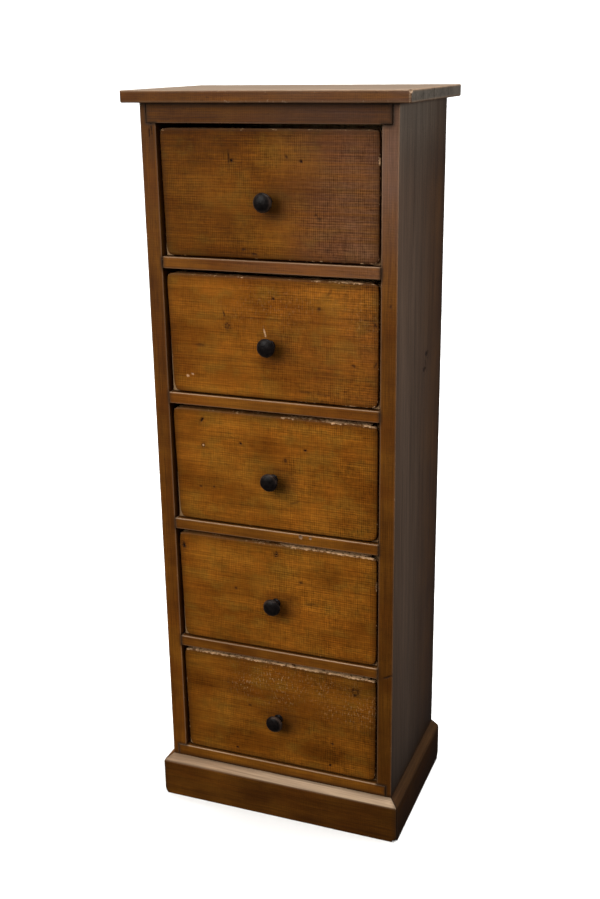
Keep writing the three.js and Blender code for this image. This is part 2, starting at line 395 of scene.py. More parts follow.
def canvas_of(shader):
    """A faint cloth-like grid of short strokes both ways, from 0 to 1, as a toothed plane leaves them."""
    upright = shader.noise((430, 430, 75), detail=2, rough=0.6)
    level = shader.noise((80, 80, 400), detail=2, rough=0.6)
    strokes = shader.plus(shader.spread(upright, 0.28, 0.72), shader.spread(level, 0.28, 0.72))
    upright_threads = shader.threads("X", UPRIGHT_SPACING, STROKE_WAVER)
    level_threads = shader.threads("Z", LEVEL_SPACING, STROKE_WAVER)
    lines = shader.plus(upright_threads, shader.times(level_threads, 0.8))
    return shader.plus(shader.times(strokes, 0.28), shader.times(lines, 0.22))


def worn_mask(shader, reach):
    """Where the stain has worn off: flecks beside the edges, as far in as the reach in millimetres."""
    flecks = shader.noise((190, 190, 190), detail=3, rough=0.65)
    patches = shader.noise((34, 34, 34), detail=2)
    near = shader.spread(shader.field("edge"), 0.0, reach, 1.15, 0.0)
    broken = shader.plus(shader.times(flecks, 1.7), shader.times(patches, 1.3))
    amount = shader.plus(shader.times(near, shader.field("worn")), broken)
    return shader.times(shader.spread(amount, 1.95, 2.20), shader.spread(near, 0.0, 0.2))


def stain_colour(shader, stain, bands, clouds, lines):
    """The stain's own colour: dark and light bands, and golden, orange, russet and bruised patches."""
    body = shader.plus(shader.times(bands, 0.48), shader.times(clouds, 0.52))
    colour = shader.blend(shader.spread(body, 0.37, 0.63), stain.dark, stain.light)
    if stain is DRAWER_STAIN:
        golden = shader.spread(shader.noise((7, 7, 11), detail=2), 0.50, 0.68, 0.0, 0.6)
        colour = shader.blend(golden, colour, GOLDEN)
        tint = shader.noise((30, 30, 44), detail=3, rough=0.55)
        colour = shader.blend(shader.spread(tint, 0.50, 0.64, 0.0, 0.26), colour, ORANGE)
        colour = shader.blend(shader.spread(tint, 0.36, 0.48, 0.40, 0.0), colour, OLIVE)
    russet = shader.spread(shader.noise((9, 9, 16), detail=3), 0.50, 0.66, 0.0, 0.6)
    colour = shader.blend(russet, colour, shader.blend(clouds, stain.dark, RUSSET))
    bruised = shader.times(shader.field("purple"), shader.spread(lines, 0.35, 0.62, 0.55, 1.0))
    return shader.blend(bruised, colour, shader.blend(clouds, PURPLE, stain.dark))


def streaked(shader, colour, axis, stain, lines, strength):
    """The colour with darker growth lines and short nicks along the grain, and the nicks themselves."""
    nicks = shader.noise(along(axis, 95, 430), detail=3, rough=0.6)
    colour = shader.blend(shader.spread(lines, 0.60, 0.74, 0.0, strength), colour, stain.streak)
    return shader.blend(shader.spread(nicks, 0.62, 0.72, 0.0, strength), colour, stain.streak), nicks


def frame_faces(shader, colour, stain, bands, fibres, lines):
    """What only the frame's boards have: outer faces in painted shade and a painted sheen, a paler painted
    sheen, and a thin painted highlight along the edges.
    """
    growth = shader.spread(bands, 0.35, 0.65)
    grain = shader.times(shader.swing(fibres, 0.80, 1.20), shader.spread(lines, 0.42, 0.68, 1.08, 0.68))
    # The outer faces' colour: painted shade and a painted sheen.
    outer = shader.shade(shader.blend(growth, SIDE_SHADE_SHEEN_DARK, SIDE_SHADE_SHEEN_LIGHT), grain)
    colour = shader.blend(shader.field("outer"), colour, outer)
    # The paler painted sheen.
    greyed = shader.shade(shader.blend(growth, PAINTED_SHEEN_DARK, PAINTED_SHEEN_LIGHT), grain)
    colour = shader.blend(shader.field("weathered"), colour, greyed)
    # A thin painted highlight along every edge.
    handled = shader.spread(shader.field("edge"), 0.6, 2.4, 0.35, 0.0)
    return shader.blend(handled, colour, stain.bare)


def tone_highlight_dirt_and_shade(shader, colour, bands, fibres, lines, clouds):
    """The stain darkened or lightened by the tone, a painted highlight on upward faces, and soiling and
    painted shade.
    """
    colour = shader.shade(colour, shader.field("tone"))
    highlight_grain = shader.times(shader.swing(fibres, 0.72, 1.18), shader.spread(lines, 0.40, 0.68, 1.06, 0.72))
    painted_highlight = shader.shade(UP_HIGHLIGHT_COLOUR, highlight_grain)
    faded = shader.times(shader.field("faded"), shader.spread(bands, 0.3, 0.6, 0.7, 1.0))
    colour = shader.blend(faded, colour, painted_highlight)
    grime = shader.times(shader.field("grime"), shader.spread(clouds, 0.30, 0.62, 0.55, 1.0))
    return shader.blend(grime, colour, DIRT_AND_SHADE)


def marked(shader, colour, stain, patches, nicks, worn):
    """Bare wood on worn edges, pale specks, dark chips beside the edges, and the marks of each board."""
    specks = shader.spread(shader.noise((330, 330, 150), detail=3, rough=0.75), 0.55, 0.64)
    specks = shader.times(specks, shader.spread(patches, 0.5, 0.9, 0.2, 1.0))
    colour = shader.blend(shader.times(specks, shader.field("specks")), colour, SPECK)
    bare = shader.shade(stain.bare, shader.spread(nicks, 0.35, 0.62, 1.15, 0.55))
    pale = shader.math("MAXIMUM", worn, shader.field("pale"))
    colour = shader.blend(shader.times(pale, 0.90), colour, bare)
    chipped = shader.times(shader.field("worn"), shader.spread(shader.field("edge"), 0.5, 6.0, 1.0, 0.0))
    chips = shader.spread(shader.noise((160, 160, 240), detail=3, rough=0.6), 0.54, 0.62)
    colour = shader.blend(shader.times(chips, chipped), colour, stain.streak)
    return shader.blend(shader.field("dark"), colour, MARK_DARK)


def stained_pine(name, axis, stain, weave, streaks, specular=0.10):
    """Old pine under brown wax, with its grain along the axis.

    The weave is how strongly the tool strokes show, and the streaks how dark the growth lines are.
    """
    shader = Shader(name, specular)
    bands, fibres, lines = grain_of(shader, axis)
    clouds = shader.noise((13, 13, 13), detail=3, rough=0.55)
    patches = shader.spread(shader.noise((16, 16, 16), detail=2), 0.36, 0.62, 0.45, 1.0)
    canvas = canvas_of(shader)
    strength = shader.times(shader.times(patches, shader.field("weave")), weave)
    dip = shader.times(shader.math("SUBTRACT", STROKE_MEAN, canvas), strength)
    worn = worn_mask(shader, STAIN_REACH)
    colour = stain_colour(shader, stain, bands, clouds, lines)
    colour = shader.shade(colour, shader.swing(fibres, 0.78, 1.20))
    colour = shader.shade(colour, shader.math("SUBTRACT", 1.0, dip))
    colour, nicks = streaked(shader, colour, axis, stain, lines, streaks)
    if stain is FRAME_STAIN:
        colour = frame_faces(shader, colour, stain, bands, fibres, lines)
    colour = tone_highlight_dirt_and_shade(shader, colour, bands, fibres, lines, clouds)
    colour = marked(shader, colour, stain, patches, nicks, worn)
    shader.bump(shader.plus(shader.times(fibres, 0.35), shader.times(canvas, strength)), PINE_DEPTH)
    rough = shader.plus(shader.swing(fibres, 0.46, 0.58), shader.times(worn, 0.2))
    return shader.done(colour, rough)


def edge_wear_dirt_and_shade(shader, colour, wood, reach, share):
    """Unfinished wood with darker edges where hands and dust have reached, and soiling and painted shade in
    its corners.
    """
    colour = shader.blend(shader.times(worn_mask(shader, reach), share), colour, wood.handled)
    return shader.blend(shader.times(shader.field("grime"), 0.5), colour, wood.grime)


def raw_pine(name, axis):
    """Planed, unfinished pine: pale bands, soiling and painted shade in corners, and darker edges worn by
    hands.
    """
    shader = Shader(name, specular=0.18)
    bands, fibres, lines = grain_of(shader, axis)
    colour = shader.blend(shader.spread(bands, 0.36, 0.66), PINE.light, PINE.dark)
    colour = shader.shade(colour, shader.swing(fibres, 0.86, 1.10))
    colour = shader.blend(shader.spread(lines, 0.60, 0.74, 0.0, 0.4), colour, PINE.line)
    dust = shader.noise((9, 9, 9), detail=4, rough=0.6)
    colour = shader.shade(colour, shader.swing(dust, 0.78, 1.05))
    colour = edge_wear_dirt_and_shade(shader, colour, PINE, PINE_REACH, 0.5)
    shader.bump(shader.plus(shader.times(fibres, 0.6), shader.times(bands, 0.4)), PINE_DEPTH)
    return shader.done(colour, shader.swing(fibres, 0.58, 0.74))


def plywood(name):
    """Sanded softwood plywood with a flowing face grain and greyed edges."""
    shader = Shader(name, specular=0.18)
    flow = shader.noise((26, 26, 1.8), detail=4, rough=0.55, distortion=1.1)
    fibres = shader.noise((420, 420, 22), detail=2, rough=0.6)
    rays = shader.noise((170, 170, 3), detail=3, rough=0.5, distortion=0.4)
    colour = shader.blend(shader.spread(flow, 0.38, 0.62), PLYWOOD.light, PLYWOOD.dark)
    colour = shader.blend(shader.spread(rays, 0.55, 0.72, 0.0, 0.5), colour, PLYWOOD.line)
    colour = shader.shade(colour, shader.swing(fibres, 0.80, 1.14))
    colour = edge_wear_dirt_and_shade(shader, colour, PLYWOOD, PLYWOOD_REACH, 0.6)
    shader.bump(shader.plus(shader.times(fibres, 0.6), shader.times(flow, 0.4)), PLYWOOD_DEPTH)
    return shader.done(colour, shader.swing(fibres, 0.60, 0.78))


def black_metal(name):
    """Blackened iron, mottled, with a patchy brown painted highlight on its rim."""
    shader = Shader(name, specular=0.08)
    mottle = shader.noise((210, 210, 210), detail=4, rough=0.65)
    patches = shader.noise((60, 60, 60), detail=3, rough=0.6)
    colour = shader.blend(shader.spread(mottle, 0.35, 0.65), IRON_DARK, IRON_LIGHT)
    painted_highlight = shader.times(shader.field("rim"), shader.spread(patches, 0.38, 0.62))
    colour = shader.blend(shader.times(painted_highlight, 0.7), colour, IRON_HIGHLIGHT)
    shader.bump(mottle, IRON_DEPTH)
    return shader.done(colour, shader.swing(mottle, 0.28, 0.42))


def zinc_steel(name):
    """Zinc-plated screw steel with a crystalline mottle, spots of rust and bright corners."""
    shader = Shader(name, specular=0.5, metallic=0.9)
    grain = shader.noise((900, 900, 900), detail=3, rough=0.6)
    rust = shader.noise((240, 240, 240), detail=3, rough=0.6)
    corners = shader.nodes.new("ShaderNodeNewGeometry").outputs["Pointiness"]
    colour = shader.blend(shader.spread(grain, 0.35, 0.65), ZINC_DARK, ZINC_LIGHT)
    colour = shader.blend(shader.spread(rust, 0.56, 0.70, 0.0, 0.55), colour, RUST)
    colour = shader.blend(shader.spread(corners, 0.52, 0.60, 0.0, 0.5), colour, ZINC_BRIGHT)
    shader.bump(grain, ZINC_DEPTH)
    return shader.done(colour, shader.swing(grain, 0.30, 0.50))


# ---- The wooden pieces ----

Look = namedtuple("Look", "material step ease wobble worn faded", defaults=(0.0,))


def make_looks():
    """The look of each kind of board.

    The grid step, the eased edge and the wobble are in millimetres. Wear and upward highlight are shares.
    """
    frame_x = stained_pine("frame_pine_x", "X", FRAME_STAIN, weave=1.1, streaks=0.45)
    frame_y = stained_pine("frame_pine_y", "Y", FRAME_STAIN, weave=0.4, streaks=0.45, specular=0.03)
    frame_z = stained_pine("frame_pine_z", "Z", FRAME_STAIN, weave=1.0, streaks=0.45)
    drawer_x = stained_pine("drawer_pine_x", "X", DRAWER_STAIN, weave=1.8, streaks=0.34, specular=0.04)
    raw_x = raw_pine("raw_pine_x", "X")
    raw_y = raw_pine("raw_pine_y", "Y")
    sheet = plywood("plywood")
    return {
        "side_panel": Look(frame_z, 6, 1.3, 0.30, 0.12, 0.08),
        "top_board": Look(frame_x, 5, 0, 0.35, 0.18, 0.15),
        "top_rail_front": Look(frame_x, 4, 0.8, 0.25, 0.05, 0.08),
        "divider_rail": Look(frame_x, 4, 0.9, 0.30, 0.15, 0.50),
        "bottom_rail_front": Look(frame_x, 4, 0.9, 0.30, 0.15, 0.50),
        "plinth_front": Look(frame_x, 5, 1.2, 0.30, 0.05, 0.95),
        "plinth": Look(frame_y, 5, 1.2, 0.30, 0.05, 0.02),
        "drawer_front": Look(drawer_x, 3, 0, 0.35, 0.45, 0.12),
        "top_rail_back": Look(raw_x, 12, 0.8, 0.15, 0.4),
        "bottom_board": Look(raw_x, 14, 0.8, 0.20, 0.4),
        "back_panel": Look(sheet, 14, 0.5, 0.20, 0.5),
        "runner": Look(raw_y, 10, 0.8, 0.15, 0.6),
        "drawer_side": Look(raw_y, 8, 0.8, 0.15, 0.6),
        "drawer_back": Look(raw_x, 9, 0.8, 0.15, 0.5),
        "drawer_bottom": Look(sheet, 12, 0.4, 0.15, 0.5),
    }


Tone = namedtuple("Tone", "left right bottom top", defaults=(1.0,) * 4)
# How dark or light each board is at its ends: tones across it multiply those up it.
TONES = {
    "side_panel_left": Tone(1.0, 1.0, 1.10, 0.56),
    "side_panel_right": Tone(1.0, 1.0, 0.52, 0.86),
    "top_board": Tone(0.62, 0.62),
    "top_rail_front": Tone(0.70, 0.62),
    "bottom_rail_front": Tone(1.05, 0.90),
    "divider_rail_1": Tone(0.95, 1.05),
    "plinth_front": Tone(0.64, 0.38),
    "plinth_left": Tone(1.0, 1.0, 0.6, 0.8),
    # The right plinth is painted nearly black, darkest at the floor, as painted shade.
    "plinth_right": Tone(1.0, 1.0, 0.06, 0.14),
}
# The right side board is painted darker than the left one, as painted shade. They face the ways +1 and -1.
SIDE_SHADE = {-1: 1.0, 1: 0.55}
# The numbers at each point of a board: millimetres to the nearest edge, a tone that multiplies the stain,
# and shares.
FIELDS = "edge worn tone purple outer weathered faded grime weave specks pale dark".split()
PLAIN_WEAVE = 0.6


def blank_fields(count):
    """Every field as it is on a plain board."""
    fields = {label: np.zeros(count) for label in FIELDS}
    fields["tone"] += 1.0
    fields["weave"] += PLAIN_WEAVE
    return fields


def raise_field(fields, label, values):
    """Raises a field wherever the values are higher."""
    fields[label] = np.maximum(fields[label], values)


Mark = namedtuple("Mark", "kind across up wide tall tilt", defaults=(0.0,))
Effect = namedtuple("Effect", "depth darkness paleness")
# How deep each kind of mark goes in millimetres, and how strongly it darkens the wood or bares it.
MARK_EFFECTS = {
    "hole": Effect(1.3, 1.0, 0.0),
    "knot": Effect(0.3, 0.7, 0.0),
    "crack": Effect(0.8, 0.9, 0.0),
    "streak": Effect(0.1, 0.45, 0.0),
    "ring": Effect(0.5, 0.85, 0.0),
    "scratch": Effect(0.3, 0.0, 0.7),
    "fleck": Effect(0.1, 0.0, 0.75),
}
# Marks on a board's front or right face: millimetres from the frame's middle, above the board's lower
# edge, half sizes, and degrees of tilt. On right faces the first is measured towards the back.
MARKS = {
    ("drawer_1_front", "front"): [
        Mark("hole", -56, 143, 1.8, 2.0),
        Mark("crack", -60, 146, 0.8, 10, 3),
        Mark("knot", 31, 149, 1.8, 3.4, 25),
        Mark("hole", 53, 143, 1.8, 1.8),
        Mark("knot", 75, 68, 1.5, 1.5),
        Mark("knot", 80, 63, 1.5, 1.9),
        Mark("knot", -24, 8, 4, 2),
        Mark("knot", -40, 14, 3, 1.6),
    ],
    ("drawer_2_front", "front"): [
        Mark("hole", 6, 157, 1.8, 1.8),
        Mark("ring", -71, 111, 3.8, 4.0, 15),
        Mark("knot", -76, 130, 1.3, 5.0, 20),
        Mark("knot", 79, 146, 2.4, 2.6),
        Mark("knot", 133, 64, 3.4, 2.4),
        Mark("streak", -118, 78, 9, 2.4),
        Mark("streak", 96, 172, 2.4, 7, -40),
        Mark("streak", 55, 17, 14, 1.4),
        Mark("streak", 87, 15, 10, 1.4),
        Mark("scratch", -9, 104, 1.2, 6, 14),
        Mark("fleck", -143, 27, 2.6, 1.8),
        Mark("fleck", -134, 30, 1.8, 1.4),
        Mark("knot", 167, 126, 1.4, 3, 30),
        Mark("knot", 167, 68, 1.6, 4, -20),
    ],
    ("drawer_3_front", "front"): [
        Mark("hole", -121, 171, 1.7, 4.6, -32),
        Mark("ring", -120, 129, 3.4, 3.4),
        Mark("fleck", -120, 129, 1.8, 1.8),
        Mark("hole", -55, 138, 1.9, 1.9),
        Mark("hole", 54, 138, 2.0, 1.9),
        Mark("knot", 21, 118, 2.8, 3.2),
        Mark("knot", -104, 60, 1.8, 1.8),
        Mark("knot", -128, 58, 2.6, 1.4),
        Mark("streak", 36, 50, 8, 2.0, 20),
    ],
    ("drawer_4_front", "front"): [
        Mark("knot", -163, 165, 4.0, 7.0, 10),
        Mark("hole", -163, 164, 1.8, 4.2, 10),
        Mark("hole", 2, 171, 2.0, 2.0),
        Mark("ring", 2, 171, 4.2, 4.2),
        Mark("knot", -71, 101, 2.4, 2.4),
        Mark("knot", 44, 128, 3.0, 2.4),
        Mark("streak", 60, 92, 9, 1.6, 12),
    ],
    ("drawer_5_front", "front"): [
        Mark("ring", 136, 161, 6.2, 5.6),
        Mark("hole", 96, 56, 2.0, 1.7),
        Mark("hole", 92, 14, 1.6, 2.2, -30),
        Mark("knot", -52, 101, 2.4, 1.8),
        Mark("hole", -78, 13, 1.8, 1.8),
        Mark("fleck", -3, 84, 1.5, 2.2),
    ],
    ("side_panel_right", "front"): [
        Mark("crack", 192, 300, 8.0, 1.3, 28),
        Mark("knot", 190, 900, 1.4, 2.4),
    ],
    ("side_panel_left", "front"): [
        Mark("crack", -182, 1146, 0.8, 9, 4),
        Mark("crack", -186, 1138, 0.7, 6, -3),
    ],
    ("side_panel_right", "right"): [
        Mark("hole", 51, 791, 7.5, 4.2),
        Mark("hole", 38, 768, 6.0, 4.2),
        Mark("knot", 44, 779, 2.6, 8.0, 30),
        Mark("streak", -40, 1020, 2.0, 60.0),
        Mark("streak", 90, 560, 2.4, 110.0),
    ],
    ("top_board", "front"): [
        Mark("scratch", 219, 8, 1.3, 8),
    ],
    ("top_board", "right"): [
        Mark("streak", -119, 9, 1.0, 8, 4),
        Mark("streak", -81, 8, 1.4, 8, 3),
        Mark("crack", -22, 9, 1.6, 9, -5),
        Mark("streak", 60, 10, 1.4, 8, 2),
    ],
}

# Hollows where a corner or an edge has broken away: middle and radius of the scooping ball in millimetres.
SCOOPS = {
    "top_board": [((223, -140, 1201), 6.5)],
    "divider_rail_3": [((46, -121, 522), 4.0), ((62, -121, 522), 3.2)],
    "drawer_2_front": [((171, -117, 312), 9.0)],
}

# Lower corners of the plinth that knocks have rounded, and the radius in millimetres.
ROUNDED = {(-214, -133, 0): 5.0, (214, -133, 0): 8.0, (214, 141, 0): 5.0}

Front = namedtuple("Front", "tone purple top bottom left right taper corner specks")
# How each drawer front has aged. Tone and purple are at its left and right ends, and top and bottom are the
# wear at the left end, middle and right end of those edges. Taper and corner are in millimetres.
FRONTS = {
    # The first front's low tone is partly painted shade under the top board's overhang.
    1: Front((0.50, 0.71), (0.00, 0.75), (0.10, 0.20, 0.40), (0.25, 0.30, 0.40), 0.15, 0.25, 3.0, 3.5, 0.0),
    2: Front((0.91, 0.93), (0.00, 0.10), (0.30, 0.30, 0.45), (0.30, 0.20, 0.75), 0.20, 0.25, 4.5, 4.5, 0.15),
    3: Front((0.91, 0.96), (0.00, 0.00), (0.15, 0.30, 0.60), (0.20, 0.15, 0.25), 0.15, 0.20, 4.8, 5.0, 0.0),
    4: Front((1.00, 1.00), (0.00, 0.00), (0.15, 0.35, 0.95), (0.15, 0.15, 0.25), 0.15, 0.20, 4.0, 5.0, 0.0),
    5: Front((0.80, 0.76), (0.00, 0.00), (0.60, 0.70, 0.95), (0.20, 0.20, 0.25), 0.35, 0.30, 2.5, 3.5, 0.78),
}


# How much of a front's corner rounding each corner has, by side (0 is left) and level (0 is low).
CORNER_SHARES = {(0, 0): 1.0, (1, 0): 0.8, (0, 1): 0.55, (1, 1): 0.50}
# How far a front's taper and its corner rounding reach, in millimetres.
TAPER_REACH = 30
CORNER_REACH = 9


def mark_distance(across, up, mark):
    """How far points lie from a mark's middle, as a share of its half sizes."""
    turn = math.radians(mark.tilt)
    right = (across - mark.across) * math.cos(turn) + (up - mark.up) * math.sin(turn)
    over = (up - mark.up) * math.cos(turn) - (across - mark.across) * math.sin(turn)
    return np.hypot(right / mark.wide, over / mark.tall)


def mark_strength(distance, kind):
    """1 on the mark, fading to 0 just outside it. A ring is a mark on its rim alone."""
    if kind == "ring":
        return 1.0 - ramp(np.abs(distance - 0.85), 0.06, 0.28)
    return 1.0 - ramp(distance, 0.55, 1.35)


def marks_on(node):
    """The face and the mark, for each mark on a board."""
    return [(face, mark) for (marked, face), marks in MARKS.items() if marked == node for mark in marks]


def press_marks(fields, points, node, low, high):
    """Darkens or lightens the fields at each mark on a board, and returns how deep the marks go."""
    depth = np.zeros(len(points))
    ragged = 1.0 + 0.45 * ripple(points, 2.6, 2, 7.7)
    for face, mark in marks_on(node):
        across, facing, surface = (0, 1, low[1]) if face == "front" else (1, 0, high[0])
        on_face = 1.0 - ramp(np.abs(points[:, facing] - surface), 1.0, 3.0)
        distance = mark_distance(points[:, across], points[:, 2] - low[2], mark) * ragged
        strength = mark_strength(distance, mark.kind) * on_face
        halo = 0.35 * (1.0 - ramp(distance, 0.8, 2.6)) * on_face
        effect = MARK_EFFECTS[mark.kind]
        depth = np.maximum(depth, strength * effect.depth)
        raise_field(fields, "dark", np.maximum(strength, halo) * effect.darkness)
        raise_field(fields, "pale", strength * effect.paleness)
    return depth


def refine_marks(mesh, node, low, high):
    """Makes the grid fine enough for the marks and scoops on a board."""
    for face, mark in marks_on(node):
        across = (mark.across, low[1]) if face == "front" else (high[0], mark.across)
        refine(mesh, (*across, low[2] + mark.up), max(mark.wide, mark.tall) + 5.0)
    for place, radius in SCOOPS.get(node, []):
        refine(mesh, place, radius + 7.0)
    for place, radius in ROUNDED.items():
        if (low - 1 < place).all() and (high + 1 > place).all():
            refine(mesh, place, 2 * radius)


def scoop(points, fields, node):
    """Pushes points inside a scooping ball out to its surface, and bares the wood there."""
    for place, radius in SCOOPS.get(node, []):
        offset = points - np.array(place)
        distance = np.linalg.norm(offset, axis=1)
        inside = distance < radius
        points[inside] += offset[inside] * (radius / distance[inside] - 1.0)[:, None]
        fields["pale"][inside] = 0.8
        fields["edge"][inside] = 0.0
    return points


def round_corners(points):
    """Brings points near the plinth's knocked corners in to a ball that fits each corner."""
    for place, radius in ROUNDED.items():
        inward = -np.sign(np.array(place) - (0, 0, 1))
        centre = np.array(place) + inward * radius
        offset = points - centre
        distance = np.linalg.norm(offset, axis=1)
        outside = (offset * inward < 0).all(axis=1) & (distance > radius)
        points[outside] = centre + offset[outside] * (radius / distance[outside])[:, None]
    return points


def reshape_front(points, number, low, high):
    """Draws in the left edge towards the bottom, and rounds the corners, near the face only."""
    front = FRONTS[number]
    nearness = 1.0 - ramp(points[:, 1], low[1] + 2.0, low[1] + 11.0)
    height = share_along(points, 2, low, high)
    from_left = points[:, 0] - low[0]
    points[:, 0] += front.taper * (1.0 - height) * np.exp(-from_left / TAPER_REACH) * nearness
    for (side, level), amount in CORNER_SHARES.items():
        corner = np.array([(low, high)[side][0], (low, high)[level][2]])
        inward = np.array([1 - 2 * side, 1 - 2 * level]) / math.sqrt(2)
        distance = np.linalg.norm(points[:, [0, 2]] - corner, axis=1)
        push = front.corner * amount * np.exp(-((distance / CORNER_REACH) ** 2)) * nearness
        points[:, [0, 2]] += push[:, None] * inward
    return points


# How far soiling and painted shade spread from a neighbouring board, in millimetres.
CREASE = 6.0


def creases(points, node):
    """How much soiling and painted shade gather where a board meets its neighbours, from 0 to 1."""
    corners, triangles = [], []
    for other, thing in frame["nodes"].items():
        if other == node or "knob" in other:
            continue
        start = len(corners)
        corners += [vert.co / MM for vert in thing.data.vertices]
        triangles += [[start + index for index in face.vertices] for face in thing.data.polygons]
    neighbours = BVHTree.FromPolygons(corners, triangles)
    gaps = [neighbours.find_nearest(Vector(point), CREASE)[3] for point in points]
    return 1.0 - ramp(np.array([CREASE if gap is None else gap for gap in gaps]), 0.3, CREASE)


def front_wear(front, gaps, share):
    """How worn the nearest edge of a front is, with the gaps to its top, bottom, left and right edges."""
    ends = (0.05, 0.50, 0.95)
    wears = np.array([
        np.interp(share, ends, front.top),
        np.interp(share, ends, front.bottom),
        np.full_like(share, front.left),
        np.full_like(share, front.right),
    ])
    return wears[gaps.argmin(0), np.arange(len(share))]


def front_dirt_and_shade(points, gaps, number):
    """Soiling along a front's edges, and soiling with a painted shadow below and right of the knob."""
    _, knob_high = box_mm(f"drawer_{number}_knob")
    from_knob = np.hypot((points[:, 0] - 8) / 1.2, (points[:, 2] - (knob_high[2] - 20)) / 1.1)
    edges = 0.45 * (1.0 - ramp(gaps.min(0), 1.0, 12.0))
    return np.maximum(edges, 0.60 * (1.0 - ramp(from_knob, 10, 36)))


def front_specks(across, up):
    """Where pale specks lie on a front: a slanting band in its upper half, fading out at the left."""
    return np.exp(-(((up - 146 + 0.06 * across) / 30) ** 2)) * ramp(across, -110, -40)


def front_fields(fields, points, normals, number, low, high):
    """The stain, wear, soiling and painted shade of one drawer front: darker towards its ends and shaded in
    the gap round it.
    """
    front = FRONTS[number]
    across = points[:, 0]
    up = points[:, 2] - low[2]
    share = share_along(points, 0, low, high)
    gaps = np.array([high[2] - points[:, 2], up, across - low[0], high[0] - across])
    gap_shade = ramp(np.maximum(np.abs(normals[:, 0]), -normals[:, 2]), 0.80, 0.98)
    tone = np.interp(share, (0.15, 0.85), front.tone) * (1.0 + 0.12 * ripple(points, 60, 3, number))
    tone = tone * (1.0 - 0.22 * np.exp(-gaps[2:].min(0) / 22))
    # Painted shade on the faces that turn into the gap.
    fields["tone"] = tone * (1.0 - 0.75 * gap_shade)
    fields["purple"] = np.interp(share, (0.50, 0.95), front.purple)
    fields["weave"] = np.interp(share, (0.20, 0.80), (0.60, 1.0))
    fields["worn"] = front_wear(front, gaps, share)
    fields["edge"] = gaps.min(0)
    fields["grime"] = front_dirt_and_shade(points, gaps, number)
    fields["specks"] = front.specks * front_specks(across, up)


def top_fields(fields, normals):
    """The top board's ends, a little lighter, and in part its upper face take the painted shade and sheen
    colours.
    """
    ends = ramp(np.abs(normals[:, 0]), 0.55, 0.95)
    upper = ramp(normals[:, 2], 0.4, 0.9)
    fields["tone"] *= 1.0 + 0.35 * ends
    fields["outer"] = np.maximum(ends, 0.8 * upper)
    fields["weathered"] = np.maximum(ends, 0.5 * upper)


def side_shade(points, depth, height, sign, top):
    """Painted light and shade on a side's outer face: darker at the back and foot, lighter at the top."""
    shade = 1.13 - 0.57 * depth - 0.15 * ramp(depth, 0.30, 0.70) - 0.14 * ramp(depth, 0.85, 1.0)
    shade = shade * (0.80 + 0.35 * height) * (1.0 - 0.60 * (1.0 - height) ** 2 * np.exp(-depth / 0.12))
    below_top = top - points[:, 2]
    above_plinth = np.maximum(0.0, points[:, 2] - box_mm("plinth_right")[1][2])
    # Painted light just under the top board, against the overhang's shade.
    shade = shade * SIDE_SHADE[sign] * (1.0 + (0.9 + 0.7 * depth) * np.exp(-((below_top / 45) ** 2)))
    return shade * (1.0 - 0.68 * np.exp(-above_plinth / 55))


def side_fields(fields, points, normals, sign, low, high):
    """A side board's outer face gets painted shade and sheen; the right board's front edge is lighter and
    purplish at its top, with some painted sheen.
    """
    fields["outer"] = ramp(normals[:, 0] * sign, 0.55, 0.95)
    height = share_along(points, 2, low, high)
    depth = share_along(points, 1, low, high)
    shade = side_shade(points, depth, height, sign, high[2])
    fields["tone"] = fields["tone"] * (1.0 - fields["outer"]) + shade * fields["outer"]
    front_top = ramp(height, 0.74, 0.96) * (1.0 - fields["outer"]) * (sign > 0)
    fields["tone"] *= 1.0 + 0.36 * front_top
    fields["purple"] = 0.95 * front_top
    fields["weathered"] = np.maximum(0.70 * ramp(height, 0.88, 1.0) * fields["outer"], 0.25 * front_top)
    # The colour of painted shade and sheen gives way to the redder stain towards the back.
    fields["outer"] = fields["outer"] * (1.0 - 0.60 * ramp(depth, 0.35, 1.0))


def board_tone(points, node, low, high):
    """How dark or light each point of a board is, from its tones."""
    tone = TONES.get(node, Tone())
    across = share_along(points, 0, low, high)
    height = share_along(points, 2, low, high)
    level = tone.left + (tone.right - tone.left) * across
    return level * (tone.bottom + (tone.top - tone.bottom) * height)


def up_highlight_share(points, normals, node, look, low, high, edge):
    """How strong the painted highlight on upward faces is: on rails their edges only, on the plinth its
    chamfer.
    """
    if node == "plinth_front":
        chamfer = look.faded * ramp(normals[:, 2], 0.30, 0.60)
        return chamfer * np.interp(points[:, 0], (low[0], 20, high[0]), (0.42, 0.78, 0.68))
    faded = look.faded * ramp(normals[:, 2], 0.25, 0.80)
    if kind_of(node).startswith(("divider_rail", "bottom_rail")):
        faded = faded * (1.0 - ramp(edge, 1.2, 3.5))
    return faded


# Boards whose stain turns purplish towards the right.
PURPLE_RIGHT = ("top_board", "top_rail_front", "divider_rail_1")
# The front of the plinth gets less soiling and painted shade in its corners than the other boards.
PLINTH_CREASE_SHARE = 0.6


def board_fields(points, normals, segments, node, look, low, high):
    """Every number that a board's finish is worked out from, and how deep its marks go."""
    fields = blank_fields(len(points))
    fields["edge"] = edge_distance(points, segments)
    fields["worn"] += look.worn
    fields["tone"] = board_tone(points, node, low, high)
    if kind_of(node) == "side_panel":
        side_fields(fields, points, normals, -1 if node.endswith("left") else 1, low, high)
    if node == "top_board":
        top_fields(fields, normals)
    if kind_of(node) == "drawer_front":
        front_fields(fields, points, normals, drawer_number(node), low, high)
    fields["faded"] = up_highlight_share(points, normals, node, look, low, high, fields["edge"])
    if node in PURPLE_RIGHT:
        fields["purple"] = np.interp(points[:, 0], (-80, 200), (0.0, 0.65)) * (1.0 - fields["outer"])
    crease_share = PLINTH_CREASE_SHARE if node == "plinth_front" else 1.0
    raise_field(fields, "grime", crease_share * creases(points, node))
    return fields, press_marks(fields, points, node, low, high)


